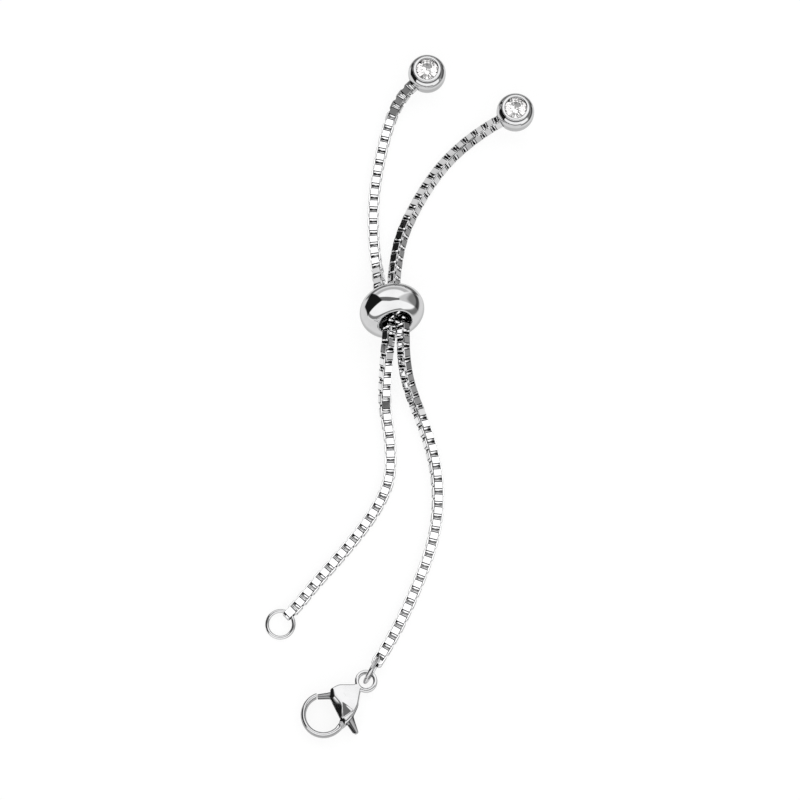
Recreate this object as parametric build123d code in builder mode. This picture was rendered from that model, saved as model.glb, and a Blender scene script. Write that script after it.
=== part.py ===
from build123d import *
import os
from math import asin, cos, degrees, radians, sin, sqrt, tan

os.makedirs("parts", exist_ok=True)

# All sizes are in millimetres and all angles in degrees. The object lies on the plane z = 0, its beads
# towards +Y and its clasp towards -Y, with the origin under the middle of its bounding box.

# Strand: square links bent from flat strip, each turned a quarter from the one before
chain_width = 1.5
strip_thickness = 0.2
strip_width = 0.78
link_pitch = 0.85
link_play = 0.18
corner_cut = 0.18
end_link_length = 1.72

# End beads: balls with a stone in a raised collar on top and the strand in a socket in the side
bead_diameter = 5.1
collar_diameter = 3.72
collar_rise = 0.2
collar_edge = 0.06
socket_clearance = 0.25
socket_depth = 1.1
socket_dip = 8
solder_depth = 0.25
left_bead_place = (3.38, 44.07)
left_bead_heading = 219
right_bead_place = (15.37, 38.49)
right_bead_heading = 208

# Stones: round brilliants, with facet slopes measured from the girdle plane
stone_diameter = 3.0
stone_girdle = 0.06
stone_culet = 0.06
table_share = 0.57
star_share = 0.52
crown_slope = 34.5
star_slope = 22
upper_girdle_slope = 39.5
pavilion_slope = 41
lower_girdle_slope = 42.2
girdle_sides = 32
stone_clearance = 0.06
lip_overhang = 0.1
lip_height = 0.25

# Slider bead: a half-round rim about a straight bore that both strands run through
slider_rim_radius = 2.25
slider_bore_diameter = 4.2
slider_ring_radius = 2.1
slider_edge_round = 0.25
slider_place = (-1.36, 9.92)
slider_lean = 25
slider_heading = 284

# Round wire rings at the strands' lower ends
ring_diameter = 4.0
ring_wire = 0.5
ring_clearance = 0.2
end_ring_heading = 229
end_ring_place = (-14.78, -30.38)
left_strand_end_heading = 226
clasp_ring_heading = 240
clasp_ring_place = (-3.13, -36.64)
clasp_ring_hold_angle = 22
right_strand_end_heading = 239
right_strand_end_rise = 15
strand_end_run = 1.7

# Clasp, in its own plane with the hook's middle as origin and the eye along +X
clasp_heading = 218.7
clasp_thickness = 2.4
hook_outer_radius = 2.95
hook_band = 0.67
hook_thickness = 1.8
hook_round = 0.28
mouth_reach = 3.47
throat_reach = 1.7
throat_lean = 12
eye_reach = 7.03
eye_outer_radius = 1.47
eye_hole_radius = 0.92
eye_thickness = 1.0
eye_round = 0.2
eye_offset = 1.5
shoulder = 3.3
neck_from_eye = 1.53
shoulder_round = 2.0
neck_round = 1.5
body_round = 0.25
throat_round = 0.3
root_round = 0.18
flank_end_from_eye = 1.43
neck_half_width = 0.62

# Clasp body's flanks as places and corner radii, from the throat round the eye's neck to the hook's back
flank_end = eye_reach - flank_end_from_eye
upper_flank = [(2.72, 2.00, 0.4), (3.95, 1.83, 1.6), (flank_end, neck_half_width, 0.3)]
lower_flank = [(flank_end, -neck_half_width, 0.3), (4.20, -1.87, 1.8), (2.40, -2.76, 2.5)]
hook_back_angle = -78
hook_root_angle = -67

# Clasp lever, which swings about a rivet between the body's two cheeks
lever_thickness = 1.0
lever_side_gap = 0.1
lever_edge_gap = 0.12
pivot = (3.5, 0.3)
pivot_boss_radius = 0.95
pin_radius = 0.35
pin_cheek_clearance = 0.02
pin_lever_clearance = 0.05
mouth_gap = 0.12
nose_from = 137
nose_to = 148

# Lever's outline below its nose, from the mouth's side round the thumb tab and back over the boss
lever_inner_edge = [(1.93, 1.12), (1.88, 0.20), (1.74, -1.60), (1.58, -2.90)]
lever_tab = [(1.48, -4.15), (1.70, -4.55), (2.10, -4.60), (2.75, -2.90)]
lever_outer_edge = [(4.20, -0.20), (3.50, 1.00), (2.85, 1.55)]

# Slot that the lever swings in, from the flank by the hook's root through the throat to the eye's side
slot_root = [(1.38, -3.60), (1.60, -1.75), (1.20, -1.55)]
slot_mouth = [(1.30, 1.20), (1.60, 2.30), (2.95, 1.72)]
slot_back = [(3.60, 1.30), (4.57, 0.15), (4.35, -3.60)]

# Strand routes from the bead to the ring: place on the surface, height above where the strand would lie,
# and turn of its square section
left_route = [
    (0.72, 41.85, 1.18, -90),
    (-0.75, 39.85, 0.42, -90),
    (-1.80, 37.30, 0.05, -90),
    (-2.72, 33.80, 0.00, -90),
    (-3.50, 29.60, 0.00, -90),
    (-3.88, 25.40, 0.00, -90),
    (-3.85, 21.40, 0.00, -88),
    (-3.57, 18.10, 0.32, -81),
    (-3.15, 15.10, 1.25, -70),
    (-2.76, 11.67, 2.52, -56),
    (-1.79, 7.73, 3.68, -46),
    (-1.93, 4.90, 3.40, -40),
    (-2.16, 2.50, 2.27, -33),
    (-2.30, 0.00, 0.98, -23),
    (-2.26, -2.70, 0.18, -12),
    (-1.83, -5.60, 0.00, -3),
    (-1.55, -9.00, 0.00, 0),
    (-1.85, -12.60, 0.00, 0),
    (-3.15, -15.80, 0.00, 0),
    (-5.60, -19.50, 0.00, 0),
    (-9.20, -23.90, 0.00, 0),
    (-12.10, -27.30, 0.00, 0),
]
right_route = [
    (12.45, 37.00, 1.08, -64),
    (10.30, 35.75, 0.42, -63),
    (7.80, 33.80, 0.03, -62),
    (5.10, 30.85, 0.00, -62),
    (2.75, 27.30, 0.00, -61),
    (0.85, 23.60, 0.00, -59),
    (-0.35, 20.20, 0.03, -56),
    (-0.85, 17.40, 0.47, -53),
    (-1.10, 14.60, 1.42, -50),
    (-0.95, 12.12, 2.36, -48),
    (0.02, 8.16, 3.56, -46),
    (0.14, 5.20, 3.36, -44),
    (0.36, 2.60, 2.27, -42),
    (0.98, 0.00, 0.95, -38),
    (1.95, -2.60, 0.13, -31),
    (2.95, -5.30, 0.00, -24),
    (4.10, -9.30, 0.00, -16),
    (4.68, -14.00, 0.00, -10),
    (4.32, -19.00, 0.00, -6),
    (2.98, -23.90, 0.00, -3),
    (1.20, -28.35, 0.00, 0),
    (-0.50, -32.00, 0.00, 0),
]

# Sizes that follow from the ones above
link_length = link_pitch + 2 * strip_thickness + link_play
wire_radius = ring_wire / 2
ring_mean_radius = ring_diameter / 2 - wire_radius
bead_radius = bead_diameter / 2
collar_radius = collar_diameter / 2
collar_top = sqrt(bead_radius**2 - collar_radius**2) + collar_rise
girdle_radius = stone_diameter / 2
girdle_top = collar_top - lip_height
crown_height = girdle_radius * (1 - table_share) * tan(radians(crown_slope))
pavilion_depth = (girdle_radius - stone_culet / 2) * tan(radians(pavilion_slope))
section_corner = sqrt((chain_width / 2) ** 2 + (strip_width / 2) ** 2)
socket_radius = section_corner + socket_clearance
socket_floor = bead_radius - socket_depth
anchor_reach = socket_floor + link_length / 2 - solder_depth
hook_inner_radius = hook_outer_radius - hook_band
neck = eye_reach - neck_from_eye


def direction(heading, rise=0):
    """A unit vector at a heading in the surface's plane, lifted by an angle."""
    flat = cos(radians(rise))
    return Vector(flat * cos(radians(heading)), flat * sin(radians(heading)), sin(radians(rise)))


def resting_height(roll):
    """The height of a strand's middle where it lies on the surface with its section turned."""
    turn = radians(min(roll % 90, 90 - roll % 90))
    return chain_width / 2 * cos(turn) + strip_width / 2 * sin(turn)


def box_link(length):
    """One square link: its opening lies in the XZ plane and its length along X."""
    with BuildPart() as link:
        with BuildSketch(Plane.XZ) as outline:
            Rectangle(length, chain_width)
            chamfer(outline.vertices(), corner_cut)
            Rectangle(length - 2 * strip_thickness, chain_width - 2 * strip_thickness, mode=Mode.SUBTRACT)
        extrude(amount=strip_width / 2, both=True)
    return link.part


def route_points(route):
    """The middle line's places along a route."""
    return [Vector(x, y, lift + resting_height(roll)) for x, y, lift, roll in route]


def strand_path(start, route, finish, finish_direction):
    """The smooth middle line of a strand from its soldered link to its ring's wire."""
    with BuildLine() as line:
        Spline(start, *route_points(route), finish - finish_direction * strand_end_run, finish)
    return line.edge()


def strand_planes(path, route, first_quarter):
    """The plane of each link, from the end link at the ring to the link soldered in the bead."""
    stops = [0.0] + [path.param_at_point(point) for point in route_points(route)] + [1.0]
    rolls = [route[0][3]] + [roll for _, _, _, roll in route] + [route[-1][3]]
    wire_inset = end_link_length / 2 - strip_thickness - ring_clearance - wire_radius
    end_place = path.length - wire_inset
    next_place = end_place - (end_link_length + link_length) / 2 + 2 * strip_thickness + link_play
    steps = round(next_place / link_pitch)
    places = [end_place] + [next_place * (1 - i / steps) for i in range(steps + 1)]
    planes = []
    for quarter, place in enumerate(places, first_quarter):
        share = place / path.length
        k = max(i for i in range(len(stops) - 1) if stops[i] <= share)
        along = (share - stops[k]) / (stops[k + 1] - stops[k])
        roll = rolls[k] + along * (rolls[k + 1] - rolls[k])
        middle = path.position_at(share)
        tangent = path.tangent_at(share)
        across = tangent.cross(Vector(0, 0, 1)).normalized()
        up = across.cross(tangent)
        turn = radians(roll + 90 * quarter)
        lowest = resting_height(roll) + link_length / 2 * abs(tangent.Z)
        middle = Vector(middle.X, middle.Y, max(middle.Z, lowest))
        planes.append(Plane(origin=middle, x_dir=tangent, z_dir=up * cos(turn) + across * sin(turn)))
    return planes


# Where each strand starts in its bead and ends at its ring
left_bead_middle = Vector(*left_bead_place, bead_radius)
right_bead_middle = Vector(*right_bead_place, bead_radius)
left_socket = direction(left_bead_heading, -socket_dip)
right_socket = direction(right_bead_heading, -socket_dip)
clasp_ring_rise = ring_mean_radius * sin(radians(clasp_ring_hold_angle))
left_finish = Vector(*end_ring_place, resting_height(0))
right_finish = Vector(*clasp_ring_place, ring_diameter / 2 - clasp_ring_rise)

left_path = strand_path(
    left_bead_middle + left_socket * anchor_reach,
    left_route,
    left_finish,
    direction(left_strand_end_heading),
)
right_path = strand_path(
    right_bead_middle + right_socket * anchor_reach,
    right_route,
    right_finish,
    direction(right_strand_end_heading, right_strand_end_rise),
)
left_planes = strand_planes(left_path, left_route, 0)
right_planes = strand_planes(right_path, right_route, 1)
plain_link = box_link(link_length)
end_link = box_link(end_link_length)


# Chains
def chain(planes):
    """A strand's loose links: the end link at its ring and the plain ones up to its bead."""
    with BuildPart() as strand:
        with Locations(planes[0]):
            add(end_link)
        with Locations(*planes[1:-1]):
            add(plain_link)
    return strand


chain_left = chain(left_planes)
chain_left.part.label = "chain_left"
export_step(chain_left.part, "parts/chain_left.step")

chain_right = chain(right_planes)
chain_right.part.label = "chain_right"
export_step(chain_right.part, "parts/chain_right.step")


# End beads
def end_bead(middle, outward, anchor_plane):
    """A ball with its stone's collar and seat, its socket, and the link soldered into the socket."""
    seat_radius = girdle_radius + stone_clearance
    seat_top = girdle_top - stone_girdle - stone_clearance
    lip_radius = girdle_radius - lip_overhang
    lip_underside = girdle_top + stone_clearance
    lip_slope = tan(radians(upper_girdle_slope))
    upright = Plane(origin=middle, x_dir=(1, 0, 0), z_dir=(0, -1, 0))
    with BuildPart() as bead:
        with BuildSketch(upright):
            with BuildLine():
                CenterArc((0, 0), bead_radius, -90, 180)
                Line((0, bead_radius), (0, -bead_radius))
            make_face()
        revolve(axis=Axis(middle, (0, 0, 1)))
        with BuildSketch(Plane(origin=middle)):
            Circle(collar_radius)
        extrude(amount=collar_top)
        chamfer(bead.faces().sort_by(Axis.Z)[-1].edges(), collar_edge)
        with BuildSketch(upright):
            with BuildLine():
                Polyline(
                    (0, seat_top - seat_radius * tan(radians(pavilion_slope))),
                    (seat_radius, seat_top),
                    (seat_radius, lip_underside),
                    (lip_radius, lip_underside + (seat_radius - lip_radius) * lip_slope),
                    (lip_radius, bead_radius),
                    (0, bead_radius),
                    close=True,
                )
            make_face()
        revolve(axis=Axis(middle, (0, 0, 1)), mode=Mode.SUBTRACT)
        with BuildSketch(Plane(origin=middle + outward * socket_floor, z_dir=outward)):
            Circle(socket_radius)
        extrude(amount=bead_radius, mode=Mode.SUBTRACT)
        with Locations(anchor_plane):
            add(plain_link)
    return bead


end_bead_left = end_bead(left_bead_middle, left_socket, left_planes[-1])
end_bead_left.part.label = "end_bead_left"
export_step(end_bead_left.part, "parts/end_bead_left.step")

end_bead_right = end_bead(right_bead_middle, right_socket, right_planes[-1])
end_bead_right.part.label = "end_bead_right"
export_step(end_bead_right.part, "parts/end_bead_right.step")


# Stones
def facet_planes(count, turn, reach, height, slope):
    """Planes of a ring of facets, each facing out and up, or down for a negative slope."""
    planes = []
    for i in range(count):
        outward = direction(turn + 360 * i / count)
        up = Vector(0, 0, 1 if slope > 0 else -1)
        facing = outward * sin(radians(abs(slope))) + up * cos(radians(slope))
        planes.append(Plane(origin=outward * reach + Vector(0, 0, height), z_dir=facing))
    return planes


def brilliant():
    """A round brilliant with its girdle's lower edge at z = 0 and its table upwards."""
    table_height = stone_girdle + crown_height
    with BuildPart() as gem:
        with BuildSketch(Plane.XY.offset(-pavilion_depth)):
            RegularPolygon(girdle_radius, girdle_sides)
        extrude(amount=pavilion_depth + table_height)
        crown = facet_planes(8, 0, girdle_radius, stone_girdle, crown_slope)
        stars = facet_planes(8, 22.5, girdle_radius * star_share, table_height, star_slope)
        upper_girdle = facet_planes(16, 11.25, girdle_radius, stone_girdle, upper_girdle_slope)
        pavilion = facet_planes(8, 0, girdle_radius, 0, -pavilion_slope)
        lower_girdle = facet_planes(16, 11.25, girdle_radius, 0, -lower_girdle_slope)
        for plane in crown + stars + upper_girdle + pavilion + lower_girdle:
            split(bisect_by=plane, keep=Keep.BOTTOM)
    return gem.part


cut_stone = brilliant()


def set_stone(bead_middle):
    """A stone in its bead's collar."""
    with BuildPart() as stone:
        with Locations(bead_middle + Vector(0, 0, girdle_top - stone_girdle)):
            add(cut_stone)
    return stone


stone_left = set_stone(left_bead_middle)
stone_left.part.label = "stone_left"
export_step(stone_left.part, "parts/stone_left.step")

stone_right = set_stone(right_bead_middle)
stone_right.part.label = "stone_right"
export_step(stone_right.part, "parts/stone_right.step")


# Slider bead
slider_height = slider_ring_radius * cos(radians(slider_lean)) + slider_rim_radius
slider_middle = Vector(*slider_place, slider_height)
slider_along = direction(slider_heading, slider_lean)
slider_across = direction(slider_heading + 90)
slider_section = Plane(
    origin=slider_middle, x_dir=slider_across, z_dir=slider_across.cross(slider_along)
)
with BuildPart() as slider_bead:
    with BuildSketch(slider_section) as slider_profile:
        with Locations((slider_ring_radius, 0)):
            Circle(slider_rim_radius)
        with Locations((slider_bore_diameter / 2, 0)):
            Rectangle(
                2 * slider_rim_radius,
                2 * slider_rim_radius,
                align=(Align.MAX, Align.CENTER),
                mode=Mode.SUBTRACT,
            )
        fillet(slider_profile.vertices(), slider_edge_round)
    revolve(axis=Axis(slider_middle, slider_along))
slider_bead.part.label = "slider_bead"
export_step(slider_bead.part, "parts/slider_bead.step")

# Rings: one lies flat against the surface at its far side, the other stands in the clasp's eye
end_ring_seat = resting_height(0) - chain_width / 2 + strip_thickness + ring_clearance + wire_radius
end_ring_tilt = degrees(asin((end_ring_seat - wire_radius) / (2 * ring_mean_radius)))
end_ring_reach = direction(end_ring_heading, -end_ring_tilt)
end_ring_middle = Vector(*end_ring_place, end_ring_seat) + end_ring_reach * ring_mean_radius
end_ring_side = direction(end_ring_heading + 90)
end_ring_plane = Plane(
    origin=end_ring_middle, x_dir=end_ring_side, z_dir=end_ring_reach.cross(end_ring_side)
)
with BuildPart() as end_ring:
    with Locations(end_ring_plane):
        Torus(ring_mean_radius, wire_radius)
end_ring.part.label = "end_ring"
export_step(end_ring.part, "parts/end_ring.step")

clasp_ring_reach = direction(clasp_ring_heading)
clasp_ring_middle = right_finish + direction(clasp_ring_heading, clasp_ring_hold_angle) * ring_mean_radius
clasp_ring_plane = Plane(
    origin=clasp_ring_middle, x_dir=clasp_ring_reach, z_dir=direction(clasp_ring_heading + 90)
)
with BuildPart() as clasp_ring:
    with Locations(clasp_ring_plane):
        Torus(ring_mean_radius, wire_radius)
clasp_ring.part.label = "clasp_ring"
export_step(clasp_ring.part, "parts/clasp_ring.step")

# Clasp
clasp_height = clasp_thickness / 2
eye_place = clasp_ring_middle + clasp_ring_reach * eye_offset
hook_middle = Vector(eye_place.X, eye_place.Y, clasp_height) + direction(clasp_heading) * eye_reach
clasp_plane = Plane(origin=hook_middle, x_dir=-direction(clasp_heading), z_dir=(0, 0, 1))


def at_angle(middle, radius, angle):
    """The place at a radius and angle round a middle, in the clasp's plane."""
    return (middle[0] + radius * cos(radians(angle)), middle[1] + radius * sin(radians(angle)))


def in_clasp(height):
    """The clasp's plane lifted to a height above its middle."""
    return clasp_plane.offset(height)


nose_reach = mouth_reach - mouth_gap
slot_half = lever_thickness / 2 + lever_side_gap
throat_half = sqrt(hook_inner_radius**2 - throat_reach**2)
throat_foot = at_angle((0, 0), throat_reach, -throat_lean)
throat_top = at_angle(throat_foot, throat_half, 90 - throat_lean)
throat_bottom = at_angle(throat_foot, -throat_half, 90 - throat_lean)
root_inside = at_angle((0, 0), hook_inner_radius, hook_root_angle)
root_outside = at_angle((0, 0), hook_outer_radius, hook_back_angle)

body_corners = [throat_top] + [(u, v) for u, v, _ in upper_flank] + [(eye_reach, 0)]
body_corners += [(u, v) for u, v, _ in lower_flank] + [root_outside, root_inside, throat_bottom]
body_radii = [throat_round] + [radius for _, _, radius in upper_flank] + [throat_round]
body_radii += [radius for _, _, radius in lower_flank] + [root_round] * 3
profile_radii = [eye_round, shoulder_round, neck_round, eye_round]


def hook():
    """The hook: a rounded band round the opening, cut off where the lever's nose meets it."""
    with BuildPart() as band:
        with BuildSketch(Plane(origin=hook_middle, x_dir=(1, 0, 0), z_dir=(0, -1, 0))):
            with Locations(((hook_outer_radius + hook_inner_radius) / 2, 0)):
                RectangleRounded(hook_band, hook_thickness, hook_round)
        revolve(axis=Axis(hook_middle, (0, 0, 1)))
        with BuildSketch(in_clasp(-clasp_thickness)):
            with Locations(pivot):
                Circle(mouth_reach)
        extrude(amount=2 * clasp_thickness, mode=Mode.SUBTRACT)
    return band.part


def eye():
    """The eye: a rounded flat ring."""
    with BuildPart() as ring:
        with BuildSketch(in_clasp(-eye_thickness / 2)):
            with Locations((eye_reach, 0)):
                Circle(eye_outer_radius)
        extrude(amount=eye_thickness)
        fillet(ring.edges().filter_by(GeomType.CIRCLE), eye_round)
    return ring.part


clasp_hook = hook()
clasp_eye = eye()
clasp_side = Plane(
    origin=hook_middle, x_dir=-direction(clasp_heading), z_dir=direction(clasp_heading - 90)
)
with BuildPart() as clasp_body:
    with BuildSketch(in_clasp(-clasp_height)):
        with BuildLine():
            FilletPolyline(*body_corners, radius=body_radii, close=True)
        make_face()
    extrude(amount=clasp_thickness)
    with BuildSketch(clasp_side):
        with BuildLine():
            FilletPolyline(
                (-hook_outer_radius, clasp_height),
                (shoulder, clasp_height),
                (neck, eye_thickness / 2),
                (eye_reach + eye_outer_radius, eye_thickness / 2),
                (eye_reach + eye_outer_radius, -eye_thickness / 2),
                (neck, -eye_thickness / 2),
                (shoulder, -clasp_height),
                (-hook_outer_radius, -clasp_height),
                radius=profile_radii + profile_radii[::-1],
                close=True,
            )
        make_face()
    extrude(amount=2 * hook_outer_radius, both=True, mode=Mode.INTERSECT)
    flanks = clasp_body.faces().filter_by(lambda face: abs(face.normal_at().Z) < 0.01)
    fillet(flanks.edges().filter_by(lambda edge: abs((edge % 0.5).Z) < 0.9), body_round)
    add(clasp_hook)
    add(clasp_eye)
    with BuildSketch(in_clasp(-clasp_height)):
        with Locations((eye_reach, 0)):
            Circle(eye_hole_radius)
        with Locations(pivot):
            Circle(pin_radius + pin_cheek_clearance)
    extrude(amount=clasp_thickness, mode=Mode.SUBTRACT)
    hole_edges = clasp_body.edges().filter_by(GeomType.CIRCLE)
    fillet(hole_edges.filter_by(lambda edge: abs(edge.radius - eye_hole_radius) < 0.001), eye_round)
    with BuildSketch(in_clasp(-slot_half)):
        with BuildLine():
            Polyline(*slot_root, *slot_mouth, *slot_back, close=True)
        make_face()
        with Locations(pivot):
            Circle(pivot_boss_radius + lever_edge_gap)
    extrude(amount=2 * slot_half, mode=Mode.SUBTRACT)
clasp_body.part.label = "clasp_body"
export_step(clasp_body.part, "parts/clasp_body.step")

with BuildPart() as clasp_lever:
    with BuildSketch(in_clasp(-lever_thickness / 2)):
        with BuildLine():
            nose = CenterArc(pivot, nose_reach, nose_from, nose_to - nose_from)
            Polyline(nose @ 1, *lever_inner_edge, *lever_tab, *lever_outer_edge, nose @ 0)
        make_face()
        with Locations(pivot):
            Circle(pivot_boss_radius)
            Circle(pin_radius + pin_lever_clearance, mode=Mode.SUBTRACT)
    extrude(amount=lever_thickness)
clasp_lever.part.label = "clasp_lever"
export_step(clasp_lever.part, "parts/clasp_lever.step")

with BuildPart() as clasp_pin:
    with BuildSketch(in_clasp(-clasp_height)):
        with Locations(pivot):
            Circle(pin_radius)
    extrude(amount=clasp_thickness)
clasp_pin.part.label = "clasp_pin"
export_step(clasp_pin.part, "parts/clasp_pin.step")
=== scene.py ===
import math

import bmesh
import bpy
import numpy as np
from bpy.props import FloatProperty, FloatVectorProperty, PointerProperty
from mathutils import Matrix, Vector


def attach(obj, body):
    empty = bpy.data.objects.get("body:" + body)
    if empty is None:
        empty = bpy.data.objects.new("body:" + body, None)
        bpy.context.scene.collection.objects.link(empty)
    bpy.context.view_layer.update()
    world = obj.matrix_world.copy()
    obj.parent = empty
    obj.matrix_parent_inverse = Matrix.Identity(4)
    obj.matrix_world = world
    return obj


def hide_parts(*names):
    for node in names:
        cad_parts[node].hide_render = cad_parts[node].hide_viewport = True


bl_info = {
    "name": "Extender Chain",
    "version": (1, 0, 0),
    "blender": (4, 5, 0),
    "location": "View3D > Sidebar > Extender",
    "description": "Dresses the extender chain's frame with polished steel pieces and clear stones",
    "category": "Object",
}

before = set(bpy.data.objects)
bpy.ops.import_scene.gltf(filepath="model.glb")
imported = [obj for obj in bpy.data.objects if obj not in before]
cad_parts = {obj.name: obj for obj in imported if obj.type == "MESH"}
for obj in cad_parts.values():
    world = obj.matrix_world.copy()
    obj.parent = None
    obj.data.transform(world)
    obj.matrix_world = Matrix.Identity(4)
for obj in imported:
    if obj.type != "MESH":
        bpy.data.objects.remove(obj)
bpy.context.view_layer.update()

MM = 0.001
UP = Vector((0, 0, 1))
ORIGIN = Vector((0, 0, 0))


# Sizes and colours


def length(name, millimetres, description):
    """A property for a length, given in millimetres."""
    return FloatProperty(
        name=name,
        description=description,
        default=millimetres * MM,
        min=0.0,
        precision=5,
        subtype="DISTANCE",
        unit="LENGTH",
    )


def angle(name, degrees, description):
    """A property for an angle, given in degrees."""
    return FloatProperty(
        name=name,
        description=description,
        default=math.radians(degrees),
        subtype="ANGLE",
        unit="ROTATION",
    )


def place(name, millimetres, description):
    """A property for a place, given in millimetres."""
    return FloatVectorProperty(
        name=name,
        description=description,
        default=[value * MM for value in millimetres],
        precision=5,
        subtype="TRANSLATION",
        unit="LENGTH",
        size=3,
    )


def share(name, value, description):
    """A property for a plain share or factor."""
    return FloatProperty(name=name, description=description, default=value, precision=3)


def colour(name, value, description):
    """A property for a colour."""
    return FloatVectorProperty(
        name=name, description=description, default=value, subtype="COLOR", min=0, max=1, size=3
    )


class EXTENDER_PG_strands(bpy.types.PropertyGroup):
    height: length("Link height", 1.5, "Outer height of a link across its strip")
    width: length("Strip width", 1.06, "Width of the flat strip that a link is bent from")
    thickness: length("Strip thickness", 0.17, "Thickness of the strip")
    plain_length: length("Link length", 1.54, "Outer length of a plain link")
    end_length: length("End link length", 1.74, "Outer length of the link that holds a ring")
    pitch: length("Link pitch", 0.85, "Step from one link to the next")
    corner: length("Corner radius", 0.35, "Outer radius where the strip is bent")
    inner_corner: length("Inner corner", 0.07, "Inner radius where the strip is bent")
    edge: length("Edge round", 0.045, "Rounding along the strip's edges")
    # Painted shade on the strip's rounded edges
    edge_painted_shade: share("Edge tarnish", 0.6, "How dark the strip's rounded edges are left")


class EXTENDER_PG_beads(bpy.types.PropertyGroup):
    radius: length("Ball radius", 2.55, "Radius of an end bead's ball")
    left_middle: place("Left middle", (3.38, 44.07, 2.55), "Middle of the left ball")
    right_middle: place("Right middle", (15.37, 38.49, 2.55), "Middle of the right ball")
    left_heading: angle("Left heading", 219, "Heading of the left ball's socket")
    right_heading: angle("Right heading", 208, "Heading of the right ball's socket")
    dip: angle("Socket dip", 8, "How far the sockets point down")
    socket_radius: length("Socket radius", 1.095, "Radius of the socket for the strand")
    socket_floor: length("Socket floor", 1.45, "Distance of the socket's floor from the middle")
    socket_edge: length("Socket edge", 0.05, "Rounding of the socket's edge")
    fullness: share("Shoulder fullness", 0.042, "Rise of the ball's shoulder, as a share of its radius")
    collar_radius: length("Collar radius", 1.86, "Outer radius of the stone's collar")
    groove: length("Collar groove", 0.08, "Width and depth of the groove round the collar's foot")
    collar_top: length("Collar top", 1.944, "Height of the collar above the ball's middle")
    collar_edge: length("Collar edge", 0.07, "Rounding of the collar's upper edges")
    lip_radius: length("Lip radius", 1.45, "Inner radius of the collar's lip")
    lip_underside: length("Lip underside", 1.754, "Height of the lip's underside")
    lip_slope: angle("Lip slope", 39.5, "Slope of the lip over the stone's crown")
    seat_radius: length("Seat radius", 1.56, "Radius of the stone's seat")
    seat_top: length("Seat top", 1.574, "Height of the seat's upper edge")
    seat_floor: length("Seat floor", 0.218, "Height of the seat's lowest point")
    seat_slope: angle("Seat slope", 41, "Slope of the seat under the stone")
    # Painted shade in the stone's seat, inside the collar's lip and in the groove round the collar's foot
    seat_painted_shade: share("Seat tarnish", 0.8, "How dark the seat and the lip's inside are left")
    groove_painted_shade: share("Groove tarnish", 0.72, "How dark the groove round the collar's foot is left")


class EXTENDER_PG_slider(bpy.types.PropertyGroup):
    middle: place("Middle", (-1.36, 9.92, 4.153), "Middle of the slider bead")
    heading: angle("Heading", 284, "Heading of the bore's axis")
    lean: angle("Lean", 25, "Rise of the bore's axis")
    rim_radius: length("Rim radius", 2.25, "Radius of the half-round rim")
    ring_radius: length("Ring radius", 2.1, "Distance of the rim's arc from the axis")
    edge_round: length("Edge round", 0.25, "Rounding between the rim and the bore")
    # Painted shade inside the bore
    bore_painted_shade: share("Bore tarnish", 0.85, "How dark the painted shade in the bore is")


class EXTENDER_PG_rings(bpy.types.PropertyGroup):
    mean_radius: length("Mean radius", 1.75, "Radius of the ring's middle line")
    wire_radius: length("Wire radius", 0.25, "Radius of the ring's wire")
    # Painted shade on the wire's flanks
    flank_painted_shade: share("Flank tarnish", 0.6, "How dark the wire's flanks are left")
    end_middle: place("End ring middle", (-15.9206, -31.6921, 0.45), "Middle of the end ring")
    end_normal: FloatVectorProperty(
        name="End ring normal",
        description="Direction that the end ring faces",
        default=(-0.074978, -0.086253, 0.993448),
        subtype="DIRECTION",
        size=3,
    )
    clasp_middle: place("Clasp ring middle", (-3.94129, -38.0452, 2.0), "Middle of the clasp's ring")
    clasp_heading: angle("Clasp ring heading", 330, "Heading that the clasp's ring faces")


class EXTENDER_PG_clasp(bpy.types.PropertyGroup):
    hook_middle: place("Hook middle", (-10.1777, -43.7397, 1.2), "Middle of the hook's opening")
    heading: angle("Heading", 38.7, "Heading from the hook's middle to the eye")
    pivot: place("Pivot", (3.5, 0.3, 0), "Rivet's place from the hook's middle, with X towards the eye")
    rivet_hole: length("Rivet hole", 0.375, "Radius of the cheeks' hole that the rivet fills")
    rivet_share: share("Rivet length", 0.9, "Length of the rivet, as a share of its solid's")
    hook_radius: length("Hook radius", 2.615, "Radius of the hook band's middle line")
    hook_half: length("Hook half width", 0.335, "Half of the hook band's width")
    hook_height: length("Hook height", 0.9, "Height of the hook's crown above the clasp's middle")
    hook_crown: length("Hook crown", 0.55, "Fall from the hook's crown to its sides")
    lever_height: length("Lever height", 0.5, "Half of the lever's thickness")
    limb_side: share("Limb side", 0.4, "Height of the nose's and tab's sides, as a share of their crowns'")
    grain: length("Casting grain", 0.055, "Spacing of the cast body's faces")
    lever_grain: share("Lever's grain", 0.75, "Spacing of the cast lever's faces, as a share of the body's")
    cheek_height: length("Cheek height", 1.2, "Height of the cheeks' flat above the clasp's middle")
    throat_least: length("Throat slope, least", 0.36, "Width of the slope along the throat at its ends")
    throat_most: length("Throat slope, most", 0.85, "Width of the slope along the throat at its widest")
    throat_depth: length("Throat slope's fall", 0.3, "Height that the slope along the throat falls")
    scoop_depth: length("Scoop depth", 0.24, "Depth at the foot of the plain scoop below the throat")
    # Painted shade on the hook's flanks, inside the slot, over the lever's middle and on the sides and
    # crowns of its nose and tab
    flank_painted_shade: share("Flank tarnish", 0.45, "How dark the hook's flanks are left")
    slot_painted_shade: share("Slot tarnish", 0.85, "How dark the slot and the lever's middle are left")
    limb_painted_shade: share("Limb tarnish", 0.9, "How dark the sides of the lever's nose and tab are left")
    limb_crown_painted_shade: share("Limb crown tarnish", 0.54, "How dark the crowns of the nose and tab are left")


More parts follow.
